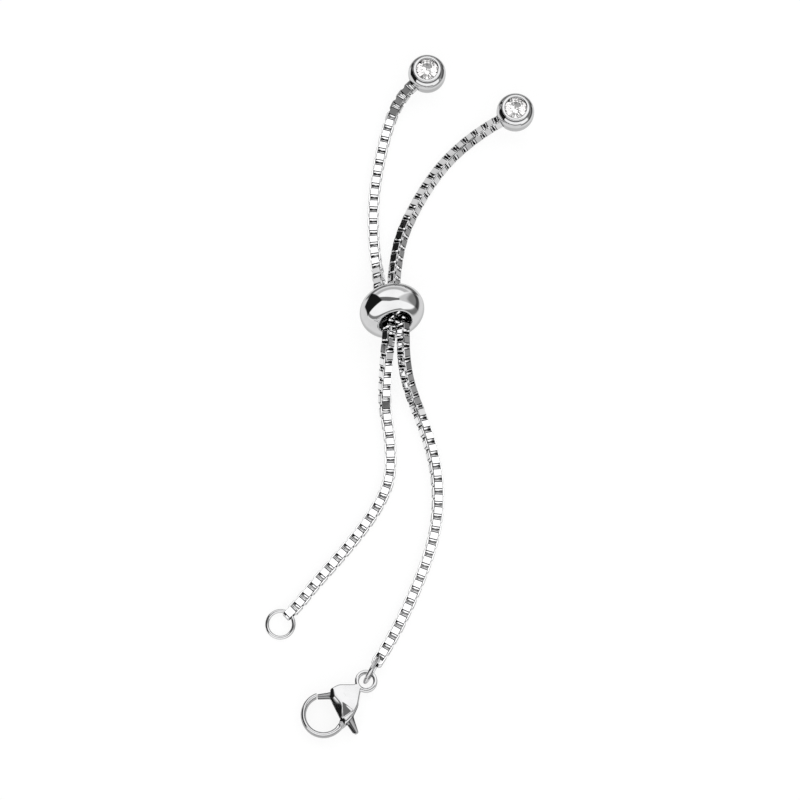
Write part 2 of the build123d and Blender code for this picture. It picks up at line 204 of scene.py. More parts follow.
class EXTENDER_PG_finish(bpy.types.PropertyGroup):
    steel: colour("Steel", (0.66, 0.66, 0.665), "Colour of the polished steel")
    link_steel: colour("Link steel", (0.90, 0.90, 0.905), "Colour of the links' polished faces")
    wear: share("Wear", 0.9, "Share of the steel's colour that is left where the polish is dulled")
    # The dark colour that painted shade turns the steel towards
    painted_shade: colour("Painted shade", (0.025, 0.025, 0.027), "Colour of the painted shade, as inside the links")
    stone: colour("Stone", (1.0, 0.985, 0.985), "Colour of the clear stones")
    cloud: colour("Cloud", (0.97, 0.955, 0.955), "Colour of the faint clouds in the stones")
    stone_ior: share("Stone index", 2.3, "Index of refraction of the stones")


class EXTENDER_PG_stage(bpy.types.PropertyGroup):
    elevation: angle("Elevation", 75, "Angle of the camera above the surface")
    distance: length("Distance", 400, "Distance of the camera from its target")
    target: place("Target", (-0.3, -1.25, 0), "Place that the camera looks at")
    lens: FloatProperty(
        name="Lens", description="Focal length of the camera", default=135.0, subtype="DISTANCE_CAMERA"
    )
    floor: colour("Floor", (0.16, 0.16, 0.16), "Colour of the floor under its own light")
    floor_size: length("Floor size", 6000, "Side of the floor")
    floor_glow: share("Floor glow", 0.86, "Light that comes up through the floor")
    light: share("Light", 1.4, "Strength of the soft light from all round")


class EXTENDER_PG_settings(bpy.types.PropertyGroup):
    strands: PointerProperty(type=EXTENDER_PG_strands)
    beads: PointerProperty(type=EXTENDER_PG_beads)
    slider: PointerProperty(type=EXTENDER_PG_slider)
    rings: PointerProperty(type=EXTENDER_PG_rings)
    clasp: PointerProperty(type=EXTENDER_PG_clasp)
    finish: PointerProperty(type=EXTENDER_PG_finish)
    stage: PointerProperty(type=EXTENDER_PG_stage)


# Shapes


# Faces round each turned shape, and along the arcs of its section
BALL_FACES, BALL_ARC = 112, 60
SLIDER_FACES, RIM_ARC, EDGE_ARC = 144, 56, 8
RING_FACES, WIRE_FACES = 96, 24

# Tilts from overhead where a ball's shoulder starts, stands out most and ends, in degrees
SHOULDER = (38, 66, 90)

# Shares of a unit direction along an axis, above which it counts as roughly or fully along that axis
ROUGHLY, FULLY = 0.9, 0.99


def direction(heading, rise=0.0):
    """A unit vector at a heading, lifted by an angle."""
    return Vector(
        (math.cos(rise) * math.cos(heading), math.cos(rise) * math.sin(heading), math.sin(rise))
    )


def set_along(origin, along, near=UP):
    """The matrix that turns a shape's Z along a direction and its X as near as can be to another."""
    z = Vector(along).normalized()
    y = z.cross(near).normalized()
    return Matrix.Translation(origin) @ Matrix((y.cross(z), y, z)).transposed().to_4x4()


class Section:
    """Half of a round shape's section, drawn in the XZ plane with operators and spun about Z."""

    def __init__(self, x, z):
        self.bm = bmesh.new()
        self.start = self.end = self.bm.verts.new((x, 0, z))

    def line(self, x, z):
        """A straight edge to a place."""
        made = bmesh.ops.extrude_vert_indiv(self.bm, verts=[self.end])
        self.end = made["verts"][0]
        self.end.co = (x, 0, z)

    def arc(self, x, z, turn, steps):
        """An arc about a middle, anticlockwise for a positive turn."""
        made = bmesh.ops.spin(
            self.bm, geom=[self.end], cent=(x, 0, z), axis=(0, -1, 0), angle=turn, steps=steps
        )
        self.end = next(v for v in made["geom_last"] if isinstance(v, bmesh.types.BMVert))

    def close(self):
        """An edge back to the first place."""
        self.bm.edges.new((self.end, self.start))

    def spun(self, steps):
        """The round shape, closed at its seam and poles."""
        bmesh.ops.spin(
            self.bm,
            geom=self.bm.verts[:] + self.bm.edges[:],
            cent=ORIGIN,
            axis=UP,
            angle=math.tau,
            steps=steps,
            use_merge=True,
        )
        bmesh.ops.remove_doubles(self.bm, verts=self.bm.verts, dist=1e-7)
        bmesh.ops.recalc_face_normals(self.bm, faces=self.bm.faces)
        return self.bm


def bevel(bm, edges, radius, segments=1):
    """Rounds edges to a radius."""
    bmesh.ops.bevel(
        bm,
        geom=edges,
        offset=radius,
        offset_type="OFFSET",
        segments=segments,
        profile=0.5,
        affect="EDGES",
        material=-1,
    )


def mark_sharp(bm, degrees=50):
    """Shades faces smoothly, apart from across edges that turn by more than some degrees."""
    for face in bm.faces:
        face.smooth = True
    for edge in bm.edges:
        edge.smooth = not (len(edge.link_faces) == 2 and edge.calc_face_angle() > math.radians(degrees))


def smooth_step(low, high, value):
    """A smooth rise from 0 at one value to 1 at another."""
    part = min(max((value - low) / (high - low), 0.0), 1.0)
    return part * part * (3 - 2 * part)


def make_piece(name, bm, body, nodes, material):
    """A finished piece that rides on a body and stands for its nodes."""
    mesh = bpy.data.meshes.new(name)
    bm.to_mesh(mesh)
    bm.free()
    mesh.materials.append(material)
    piece = bpy.data.objects.new(name, mesh)
    bpy.context.scene.collection.objects.link(piece)
    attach(piece, body)
    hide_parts(*nodes)
    return piece


def merged_copy(node):
    """A copy of a CAD node's triangles joined into closed shells."""
    bm = bmesh.new()
    bm.from_mesh(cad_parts[node].data)
    bmesh.ops.remove_doubles(bm, verts=bm.verts, dist=1e-6)
    return bm


# Links


def bends_at(bm, reach):
    """The edges across the strip where it is bent, at a distance from the link's middle."""
    return [
        edge
        for edge in bm.edges
        if abs((edge.verts[0].co - edge.verts[1].co).normalized().y) > ROUGHLY
        and abs(abs(edge.verts[0].co.x) - reach) < 0.001 * MM
    ]


def link_shape(sizes, outer_length):
    """One link bent from flat strip: its length lies along X and its opening faces Y."""
    bm = bmesh.new()
    bmesh.ops.create_cube(bm, size=1.0)
    bmesh.ops.scale(bm, vec=(outer_length, sizes.width, sizes.height), verts=bm.verts)
    sides = [face for face in bm.faces if abs(face.normal.y) > ROUGHLY]
    bmesh.ops.inset_individual(bm, faces=sides, thickness=sizes.thickness, use_even_offset=True)
    openings = list({edge for face in sides for edge in face.edges})
    bmesh.ops.delete(bm, geom=sides, context="FACES_ONLY")
    bmesh.ops.bridge_loops(bm, edges=openings)
    outer = bends_at(bm, outer_length / 2)
    inner = bends_at(bm, outer_length / 2 - sizes.thickness)
    bevel(bm, outer, sizes.corner, segments=4)
    bevel(bm, inner, sizes.inner_corner)
    # The strip's outer edges are square, and within three quarters of its thickness from the outside
    square = math.radians(80)
    least = 0.5 - 0.75 * sizes.thickness / outer_length
    rims = [
        edge
        for edge in bm.edges
        if len(edge.link_faces) == 2
        and edge.calc_face_angle() > square
        and max(abs(edge.verts[0].co.x) / outer_length, abs(edge.verts[0].co.z) / sizes.height) > least
    ]
    bevel(bm, rims, sizes.edge)
    bmesh.ops.recalc_face_normals(bm, faces=bm.faces)
    if bm.calc_volume(signed=True) < 0:
        bmesh.ops.reverse_faces(bm, faces=bm.faces)
    # Painted shade inside each link, at its ends, on its rounded edges and where its bends start
    painted_shade_mask = bm.faces.layers.float.new("painted_shade_mask")
    for face in bm.faces:
        face.smooth = True
        face[painted_shade_mask] = link_shade(sizes, face)
    for edge in bm.edges:
        edge.smooth = all(max(abs(part) for part in face.normal) < FULLY for face in edge.link_faces)
    mesh = bpy.data.meshes.new("link")
    bm.to_mesh(mesh)
    bm.free()
    return mesh


def link_shade(sizes, face):
    """How much painted shade a link's face gets: wholly inside, at its ends and where its bends start."""
    middle, facing = face.calc_center_median(), face.normal
    if middle.x * facing.x + middle.z * facing.z < -0.1 * MM:
        return 1.0
    if abs(facing.y) > ROUGHLY:
        return 0.0
    if abs(facing.y) > 0.5:
        return sizes.edge_painted_shade
    is_end, starts_bend = abs(facing.z) < 0.15, ROUGHLY < abs(facing.z) < FULLY
    return 1.0 if is_end or starts_bend else 0.0


def islands(bm):
    """The separate shells of a mesh, as lists of places."""
    left = set(bm.verts)
    while left:
        shell, edge_of_search = set(), [left.pop()]
        while edge_of_search:
            vert = edge_of_search.pop()
            shell.add(vert)
            for edge in vert.link_edges:
                other = edge.other_vert(vert)
                if other in left:
                    left.discard(other)
                    edge_of_search.append(other)
        yield np.array([vert.co[:] for vert in shell], float)


def link_places(node, ring_middle):
    """Each loose link's matrix, in order from the ring's end of the strand to the bead's."""
    bm = merged_copy(node)
    found = []
    for places in islands(bm):
        middle = places.mean(axis=0)
        axes = np.linalg.eigh(np.cov((places - middle).T))[1]
        found.append((Vector(middle), [Vector(axes[:, i]) for i in range(3)]))
    bm.free()
    chain, here = [], Vector(ring_middle)
    while found:
        nearest = min(found, key=lambda link: (link[0] - here).length)
        found.remove(nearest)
        chain.append(nearest)
        here = nearest[0]
    placed = []
    for i, (middle, (across, *others)) in enumerate(chain):
        heading = chain[min(i + 1, len(chain) - 1)][0] - chain[max(i - 1, 0)][0]
        along = max(others, key=lambda axis: abs(axis.dot(heading)))
        if along.dot(heading) < 0:
            along = -along
        turned = Matrix((along, across, along.cross(across))).transposed().to_4x4()
        placed.append(Matrix.Translation(middle) @ turned)
    return placed


def add_links(bm, mesh, placed):
    """Copies of a link's mesh at each place."""
    for matrix in placed:
        mesh.transform(matrix)
        bm.from_mesh(mesh)
        mesh.transform(matrix.inverted())


# Materials


# Marks on each kind of piece: the least and most roughness, the scale of the patches, the depth of the
# hairlines, the height of the swell, and how strongly hairlines and swell stand out
FINISHES = {
    "bead_steel": (0.02, 0.06, 350.0, 0.35, 0.5, 0.05),
    "link_steel": (0.05, 0.14, 1400.0, 0.5, 1.0, 0.12),
    "ring_wire_steel": (0.04, 0.10, 700.0, 0.5, 1.0, 0.10),
    "cast_steel": (0.05, 0.12, 420.0, 0.6, 1.6, 0.12),
}


def feed(tree, node, **inputs):
    """Sets or links a node's inputs by name."""
    for name, value in inputs.items():
        socket = node.inputs[name.replace("_", " ")]
        if isinstance(value, bpy.types.NodeSocket):
            tree.links.new(value, socket)
        else:
            socket.default_value = value


def node_in(tree, kind, place_in_tree, **inputs):
    """A shader node with its inputs set or linked."""
    node = tree.nodes.new(kind)
    node.location = place_in_tree
    feed(tree, node, **inputs)
    return node


def maths(tree, operation, first, second=None, row=0):
    """The result of a sum on one or two numbers."""
    node = tree.nodes.new("ShaderNodeMath")
    node.operation = operation
    node.location = (-200, row)
    for socket, value in zip(node.inputs, (first, second)):
        if isinstance(value, bpy.types.NodeSocket):
            tree.links.new(value, socket)
        elif value is not None:
            socket.default_value = value
    return node.outputs[0]


def colour_mix(tree, place_in_tree, factor, first, second):
    """A colour between two others."""
    mix = tree.nodes.new("ShaderNodeMix")
    mix.data_type = "RGBA"
    mix.location = place_in_tree
    feed(tree, mix, Factor=factor, A=first, B=second)
    return mix.outputs["Result"]


def ranged(tree, value, low, high, first=0.0, last=1.0, row=0, curve="LINEAR"):
    """A number that goes from first to last while a value goes from low to high."""
    node = node_in(
        tree,
        "ShaderNodeMapRange",
        (-500, row),
        Value=value,
        From_Min=low,
        From_Max=high,
        To_Min=first,
        To_Max=last,
    )
    node.interpolation_type = curve
    return node.outputs["Result"]


def noise(tree, places, scale, detail, roughness, row=0):
    """A number that varies over the surface in patches."""
    inputs = {"Vector": places, "Scale": scale, "Detail": detail, "Roughness": roughness}
    return node_in(tree, "ShaderNodeTexNoise", (-800, row), **inputs).outputs["Fac"]


def new_material(name):
    """A material, its node tree and its shader."""
    material = bpy.data.materials.new(name)
    material.use_nodes = True
    return material, material.node_tree, material.node_tree.nodes["Principled BSDF"]


def polish_group():
    """Marks of polishing and handling: dull patches, fine hairlines and a faint swell of the surface."""
    tree = bpy.data.node_groups.new("polish_marks", "ShaderNodeTree")
    for name, value in (
        ("Patch Scale", 260.0),
        ("Least Roughness", 0.03),
        ("Most Roughness", 0.09),
        ("Hairline Scale", 2200.0),
        ("Hairline Depth", 0.3),
        ("Swell", 0.5),
    ):
        socket = tree.interface.new_socket(name, in_out="INPUT", socket_type="NodeSocketFloat")
        socket.default_value = value
    for name in ("Roughness", "Dullness", "Height"):
        tree.interface.new_socket(name, in_out="OUTPUT", socket_type="NodeSocketFloat")
    given = node_in(tree, "NodeGroupInput", (-1100, 0)).outputs
    places = node_in(tree, "ShaderNodeTexCoord", (-1100, 400)).outputs["Object"]
    patches = noise(tree, places, given["Patch Scale"], 5.0, 0.6, 300)
    dull = ranged(tree, patches, 0.42, 0.7, row=300)
    rough = ranged(tree, dull, 0.0, 1.0, given["Least Roughness"], given["Most Roughness"], 500)
    stretched = node_in(
        tree,
        "ShaderNodeMapping",
        (-950, -150),
        Vector=places,
        Scale=(1.0, 0.06, 0.4),
        Rotation=(0.3, 0.5, 0.7),
    )
    hairlines = noise(tree, stretched.outputs["Vector"], given["Hairline Scale"], 3.0, 0.7, -150)
    thin = ranged(tree, hairlines, 0.60, 0.74, row=-150)
    depth = maths(tree, "MULTIPLY", thin, given["Hairline Depth"], -150)
    swell = maths(tree, "MULTIPLY", patches, given["Swell"], -350)
    height = maths(tree, "SUBTRACT", swell, depth, -550)
    node_in(tree, "NodeGroupOutput", (250, 0), Roughness=rough, Dullness=dull, Height=height)
    return tree


def steel_finish(name):
    """Polished steel with painted shade and the marks that this kind of piece's size and use leave, made
    once.
    """
    if name in bpy.data.materials:
        return bpy.data.materials[name]
    least, most, patch_scale, hairline_depth, swell, strength = FINISHES[name]
    settings = bpy.context.scene.extender.finish
    steel = settings.link_steel if name == "link_steel" else settings.steel
    worn = [settings.wear * part for part in steel]
    material, tree, shader = new_material(name)
    marks = tree.nodes.new("ShaderNodeGroup")
    marks.node_tree = bpy.data.node_groups.get("polish_marks") or polish_group()
    marks.location = (-700, 0)
    feed(
        tree,
        marks,
        Patch_Scale=patch_scale,
        Least_Roughness=least,
        Most_Roughness=most,
        Hairline_Depth=hairline_depth,
        Swell=swell,
    )
    # Each piece's painted shade, kept in a mesh attribute, darkens the steel's colour towards the painted
    # shade colour
    painted_shade_mask = node_in(tree, "ShaderNodeAttribute", (-400, 450))
    painted_shade_mask.attribute_name = "painted_shade_mask"
    lift = node_in(
        tree,
        "ShaderNodeBump",
        (-400, -200),
        Height=marks.outputs["Height"],
        Strength=strength,
        Distance=0.01 * MM,
    )
    tint = colour_mix(tree, (-400, 200), marks.outputs["Dullness"], (*steel, 1.0), (*worn, 1.0))
    darkened = colour_mix(tree, (-200, 300), painted_shade_mask.outputs["Fac"], tint, (*settings.painted_shade, 1.0))
    feed(
        tree,
        shader,
        Base_Color=darkened,
        Roughness=marks.outputs["Roughness"],
        Normal=lift.outputs["Normal"],
        Metallic=1.0,
    )
    return material


def stone_finish():
    """A clear cut stone with faint clouds, which dull it slightly."""
    settings = bpy.context.scene.extender.finish
    material, tree, shader = new_material("clear_stone_finish")
    places = node_in(tree, "ShaderNodeTexCoord", (-1100, 0)).outputs["Object"]
    clouds = noise(tree, places, 900.0, 4.0, 0.6)
    haze = ranged(tree, clouds, 0.45, 0.75, 0.0, 0.03)
    feed(
        tree,
        shader,
        Base_Color=colour_mix(tree, (-450, 150), clouds, (*settings.stone, 1.0), (*settings.cloud, 1.0)),
        Roughness=haze,
        Metallic=0.0,
        Transmission_Weight=1.0,
        IOR=settings.stone_ior,
    )
    return material


# Operators


class EXTENDER_OT_strands(bpy.types.Operator):
    """Make both strands from links bent of flat strip"""

    bl_idname = "extender.strands"
    bl_label = "Strands"

    def execute(self, context):
        settings = context.scene.extender
        plain = link_shape(settings.strands, settings.strands.plain_length)
        end = link_shape(settings.strands, settings.strands.end_length)
        for side, ring_middle in (
            ("left", settings.rings.end_middle),
            ("right", settings.rings.clasp_middle),
        ):
            node = "chain_" + side
            placed = link_places(node, ring_middle)
            bm = bmesh.new()
            add_links(bm, end, placed[:1])
            add_links(bm, plain, placed[1:])
            make_piece(side + "_strand", bm, "extender", [node], steel_finish("link_steel"))
        return {"FINISHED"}


def collar_foot(sizes):
    """Height above a ball's middle where the ball is cut for its collar."""
    return math.sqrt(sizes.radius**2 - (sizes.collar_radius + sizes.groove) ** 2)


def ball_with_socket(sizes, middle, outward):
    """A ball with its strand's socket, cut level where the stone's collar stands."""
    radius, edge = sizes.radius, sizes.socket_edge
    rim = math.asin((sizes.socket_radius + edge) / radius)
    section = Section(0, -radius)
    section.arc(0, 0, math.pi - rim, BALL_ARC)
    section.line(sizes.socket_radius, radius * math.cos(rim) - edge)
    section.line(sizes.socket_radius, sizes.socket_floor)
    section.line(0, sizes.socket_floor)
    bm = section.spun(BALL_FACES)
    bmesh.ops.transform(bm, matrix=set_along(middle, outward), verts=bm.verts)
    start, fullest, end = SHOULDER
    for vert in bm.verts:
        arm = vert.co - middle
        tilt = math.degrees(arm.angle(UP))
        swell = smooth_step(start, fullest, tilt) - smooth_step(fullest, end, tilt)
        vert.co = middle + arm * (1 + sizes.fullness * swell)
    bmesh.ops.bisect_plane(
        bm,
        geom=bm.verts[:] + bm.edges[:] + bm.faces[:],
        dist=1e-8,
        plane_co=middle + UP * collar_foot(sizes),
        plane_no=UP,
        clear_outer=True,
    )
    bmesh.ops.remove_doubles(bm, verts=bm.verts, dist=2e-6)
    return bm


def collar_and_seat(bm, sizes, middle):
    """Draws the collar, its lip and the stone's seat up and in from the ball's cut edge."""
    edge, groove, foot = sizes.collar_edge, sizes.groove, collar_foot(sizes)
    lip_top = sizes.lip_underside + (sizes.seat_radius - sizes.lip_radius) * math.tan(sizes.lip_slope)
    tip_radius = 0.3 * MM
    profile = [
        (sizes.collar_radius + 0.3 * groove, foot - 0.6 * groove),
        (sizes.collar_radius, foot - 0.4 * groove),
        (sizes.collar_radius, sizes.collar_top - edge),
        (sizes.collar_radius - 0.3 * edge, sizes.collar_top - 0.3 * edge),
        (sizes.collar_radius - edge, sizes.collar_top),
        (sizes.lip_radius + 1.1 * edge, sizes.collar_top),
        (sizes.lip_radius + 0.8 * edge, sizes.collar_top - 0.3 * edge),
        (sizes.lip_radius, lip_top),
        (sizes.seat_radius, sizes.lip_underside),
        (sizes.seat_radius, sizes.seat_top),
        (tip_radius, sizes.seat_floor + tip_radius * math.tan(sizes.seat_slope)),
    ]
    loop = [e for e in bm.edges if e.is_boundary]
    for radius, height in profile:
        made = bmesh.ops.extrude_edge_only(bm, edges=loop)["geom"]
        loop = [e for e in made if isinstance(e, bmesh.types.BMEdge)]
        for vert in {v for e in loop for v in e.verts}:
            flat = vert.co - middle
            flat.z = 0
            vert.co = middle + flat.normalized() * radius + UP * height
    bmesh.ops.extrude_edge_only(bm, edges=loop)
    last = list({v for e in bm.edges if e.is_boundary for v in e.verts})
    bmesh.ops.pointmerge(bm, verts=last, merge_co=middle + UP * sizes.seat_floor)


def collar_shade(sizes, arm, facing):
    """How much painted shade a bead gets at a place: in its seat, inside its lip and in the groove round its
    collar.
    """
    out = arm.xy.length
    in_seat = out < sizes.seat_radius and 0 < arm.z < sizes.lip_underside
    on_collar = abs(facing.z) < ROUGHLY and arm.z > sizes.lip_underside - 0.25 * MM
    in_lip = out < sizes.lip_radius + 0.06 * MM and arm.z < sizes.collar_top - 0.01 * MM
    in_groove = -0.01 * MM < out - sizes.collar_radius < 0.6 * sizes.groove
    if in_seat or (on_collar and in_lip):
        return sizes.seat_painted_shade
    return sizes.groove_painted_shade if on_collar and in_groove else 0.0


class EXTENDER_OT_end_beads(bpy.types.Operator):
    """Make the two end beads, each with its collar, seat, socket and soldered link"""

    bl_idname = "extender.end_beads"
    bl_label = "End beads"

    def execute(self, context):
        settings = context.scene.extender
        sizes = settings.beads
        plain = link_shape(settings.strands, settings.strands.plain_length)
        for side, middle, heading, ring_middle in (
            ("left", sizes.left_middle, sizes.left_heading, settings.rings.end_middle),
            ("right", sizes.right_middle, sizes.right_heading, settings.rings.clasp_middle),
        ):
            middle = Vector(middle)
            outward = direction(heading, -sizes.dip)
            bm = ball_with_socket(sizes, middle, outward)
            collar_and_seat(bm, sizes, middle)
            bmesh.ops.recalc_face_normals(bm, faces=bm.faces)
            # Painted shade in the seat, inside the lip and in the groove round the collar
            painted_shade_mask = bm.faces.layers.float.new("painted_shade_mask")
            for face in bm.faces:
                arm = face.calc_center_median() - middle
                face[painted_shade_mask] = collar_shade(sizes, arm, face.normal)
            last = link_places("chain_" + side, ring_middle)[-1]
            step = Matrix.Translation((settings.strands.pitch, 0, 0))
            quarter_turn = Matrix.Rotation(math.pi / 2, 4, "X")
            add_links(bm, plain, [last @ step @ quarter_turn])
            mark_sharp(bm)
            nodes = ["end_bead_" + side]
            make_piece(side + "_bead", bm, "extender", nodes, steel_finish("bead_steel"))
        return {"FINISHED"}


class EXTENDER_OT_stones(bpy.types.Operator):
    """Give the two cut stones their clear finish"""

    bl_idname = "extender.stones"
    bl_label = "Stones"

    def execute(self, context):
        material = stone_finish()
        for side in ("left", "right"):
            bm = merged_copy("stone_" + side)
            bmesh.ops.dissolve_limit(bm, angle_limit=math.radians(0.5), verts=bm.verts, edges=bm.edges)
            for face in bm.faces:
                face.smooth = False
            make_piece(side + "_stone", bm, "extender", ["stone_" + side], material)
        return {"FINISHED"}


class EXTENDER_OT_slider(bpy.types.Operator):
    """Make the slider bead that both strands run through"""

    bl_idname = "extender.slider"
    bl_label = "Slider bead"

    def execute(self, context):
        sizes = context.scene.extender.slider
        ring, rim, edge = sizes.ring_radius, sizes.rim_radius, sizes.edge_round
        reach = math.sqrt((rim - edge) ** 2 - edge**2)
        turn = math.atan2(reach, edge)
        section = Section(ring, -reach)
        section.arc(ring + edge, -reach, math.pi - turn, EDGE_ARC)
        section.arc(ring, 0, 2 * turn, RIM_ARC)
        section.arc(ring + edge, reach, math.pi - turn, EDGE_ARC)
        section.close()
        bm = section.spun(SLIDER_FACES)
        # Painted shade inside the bore, on the faces that look in towards its axis
        painted_shade_mask = bm.faces.layers.float.new("painted_shade_mask")
        for face in bm.faces:
            outwards = face.calc_center_median().xy.normalized()
            face[painted_shade_mask] = sizes.bore_painted_shade * smooth_step(0.1, 0.8, -face.normal.xy.dot(outwards))
        axis = direction(sizes.heading, sizes.lean)
        bmesh.ops.transform(bm, matrix=set_along(Vector(sizes.middle), axis), verts=bm.verts)
        mark_sharp(bm)
        make_piece("slider", bm, "extender", ["slider_bead"], steel_finish("bead_steel"))
        return {"FINISHED"}


class EXTENDER_OT_rings(bpy.types.Operator):
    """Make the two closed wire rings"""

    bl_idname = "extender.rings"
    bl_label = "Rings"

    def execute(self, context):
        sizes = context.scene.extender.rings
        for name, node, middle, facing in (
            ("lower_ring", "end_ring", sizes.end_middle, Vector(sizes.end_normal)),
            ("joining_ring", "clasp_ring", sizes.clasp_middle, direction(sizes.clasp_heading)),
        ):
            section = Section(sizes.mean_radius + sizes.wire_radius, 0)
            section.arc(sizes.mean_radius, 0, math.tau * (WIRE_FACES - 1) / WIRE_FACES, WIRE_FACES - 1)
            section.close()
            bm = section.spun(RING_FACES)
            near = UP if abs(facing.z) < ROUGHLY else Vector((1, 0, 0))
            bmesh.ops.transform(bm, matrix=set_along(Vector(middle), facing, near), verts=bm.verts)
            # Painted shade on the wire's flanks, darker the further they face away from the ring's axis
            painted_shade_mask = bm.faces.layers.float.new("painted_shade_mask")
            for face in bm.faces:
                aside = 1 - abs(face.normal.dot(facing))
                face[painted_shade_mask] = sizes.flank_painted_shade * smooth_step(0.6, 0.95, aside)
            mark_sharp(bm)
            make_piece(name, bm, "extender", [node], steel_finish("ring_wire_steel"))
        return {"FINISHED"}


def cast_form(bm, grain):
    """The even mesh of a form as it comes from its mould."""
    mesh = bpy.data.meshes.new("mould")
    bm.to_mesh(mesh)
    bm.free()
    mould = bpy.data.objects.new("mould", mesh)
    bpy.context.scene.collection.objects.link(mould)
    remesh = mould.modifiers.new("cast", "REMESH")
    remesh.mode = "VOXEL"
    remesh.voxel_size = grain
    form = bmesh.new()
    form.from_object(mould, bpy.context.evaluated_depsgraph_get())
    bpy.data.objects.remove(mould)
    return form


def press_down(bm, plane, height):
    """Presses a form flat or round from both sides, to half of its height at each place in its plane."""
    inverse = plane.inverted()
    for vert in bm.verts:
        local = inverse @ vert.co
        ceiling = height(local)
        if abs(local.z) > ceiling:
            local.z = math.copysign(ceiling, local.z)
            vert.co = plane @ local


# The clasp's flat places are given from the hook's middle, in millimetres, with X towards the eye

# Edge of the cheek along the throat, where along Y its slope starts, is widest and ends, and how far past
# the edge the slope still counts
THROAT = [Vector((2.72, 2.00)), Vector((1.979, 1.133)), Vector((1.347, -1.839))]
THROAT_SPAN = (2.0, -0.6, -1.9)
THROAT_MARGIN = 0.3

# Corners of the plain scoop in the cheek, with its shallow end first, and the width of its walls
SCOOP = [Vector((2.85, -0.20)), Vector((1.48, -2.05)), Vector((3.25, -2.15))]
SCOOP_WALL = 0.08

# Where along X the slot between the cheeks starts, and where the hook's band ends
SLOT_START, BAND_END = 1.2, 1.5

# The lever's nose and thumb tab: the middle and half of the width at the root, and the same at the tip
LIMBS = [
    (Vector((2.42, 1.30)), 0.44, Vector((0.84, 2.34)), 0.32),
    (Vector((2.20, -2.40)), 0.62, Vector((1.85, -4.60)), 0.34),
]

# Turns about the hook's middle, in degrees, over which its band blends into the body past its tip and at
# its root
HOOK_TIP = (45, 60)
HOOK_ROOT = (268, 302)


def limb_part(flat, limb):
    """How far along a limb a place is, from 0 at its root to 1 at its tip, and how far to its side."""
    root, root_half, tip, tip_half = limb
    along = tip - root
    part = along.dot(flat - root) / along.length_squared
    half = root_half + (tip_half - root_half) * min(max(part, 0), 1)
    return part, min(abs(along.normalized().cross(flat - root)) / half, 1.0)


def limb_height(sizes, local):
    """Half of the lever's height at a place: its nose and its tab are rounded like a finger."""
    for limb in LIMBS:
        part, aside = limb_part(local.xy / MM, limb)
        if part > 0:
            rounded = sizes.limb_side + (1 - sizes.limb_side) * math.sqrt(1 - aside**2)
            return sizes.lever_height * (1 + smooth_step(0, 0.35, part) * (rounded - 1))
    return sizes.lever_height


def lever_shade(sizes, local):
    """How much painted shade the lever gets at a place: its limbs are darker towards their sides."""
    part, aside = max(limb_part(local.xy / MM, limb) for limb in LIMBS)
    limb_shade = sizes.limb_crown_painted_shade + (sizes.limb_painted_shade - sizes.limb_crown_painted_shade) * aside**2
    return sizes.slot_painted_shade + (limb_shade - sizes.slot_painted_shade) * smooth_step(-0.05, 0.25, part)


def hook_height(sizes, local):
    """Half of the hook's height at a place, round over its band and blending into the body at its root."""
    turn = math.degrees(math.atan2(local.y, local.x)) % 360
    aside = min(abs(local.xy.length - sizes.hook_radius) / sizes.hook_half, 1.0)
    blend = smooth_step(*HOOK_TIP, turn) * (1 - smooth_step(*HOOK_ROOT, turn))
    crown = sizes.hook_height - sizes.hook_crown * (1 - math.sqrt(1 - aside**2))
    return sizes.cheek_height + (crown - sizes.cheek_height) * blend


def body_shade(sizes, local, facing):
    """How much painted shade the body gets at a place: inside its slot, and on the flanks of the hook's
    band.
    """
    inwards = smooth_step(0.2, 0.7, -facing.z * math.copysign(1, local.z))
    in_slot = sizes.slot_painted_shade * inwards * (local.x > SLOT_START * MM)
    on_band = local.xy.length < sizes.hook_radius + 2 * sizes.hook_half and local.x < BAND_END * MM
    on_flank = sizes.flank_painted_shade * smooth_step(0.55, 0.9, facing.xy.length) * on_band
    return max(in_slot, on_flank)


def inside_edge(flat, start, end):
    """How far a place is to the left of an edge."""
    return (end - start).normalized().cross(flat - start)


def cheek_height(sizes, local):
    """Half of the body's height at a place: its cheek slopes along the throat and has a plain scoop."""
    if local.x < 0:
        return sizes.cheek_height
    flat = local.xy / MM
    start, widest, end = THROAT_SPAN
    near = min(inside_edge(flat, *edge) for edge in zip(THROAT, THROAT[1:]))
    swell = smooth_step(start, widest, flat.y) * smooth_step(end, widest, flat.y)
    width = (sizes.throat_least + (sizes.throat_most - sizes.throat_least) * swell) / MM
    fall = max(0.0, 1 - near / width) * sizes.throat_depth if near > -THROAT_MARGIN else 0.0
    within = min(inside_edge(flat, *edge) for edge in zip(SCOOP, SCOOP[1:] + SCOOP[:1]))
    if within > 0:
        slope = (SCOOP[1] + SCOOP[2]) / 2 - SCOOP[0]
        run = slope.dot(flat - SCOOP[0]) / slope.length_squared
        fall = max(fall, run**2 * sizes.scoop_depth * smooth_step(0, SCOOP_WALL, within))
    return sizes.cheek_height - fall


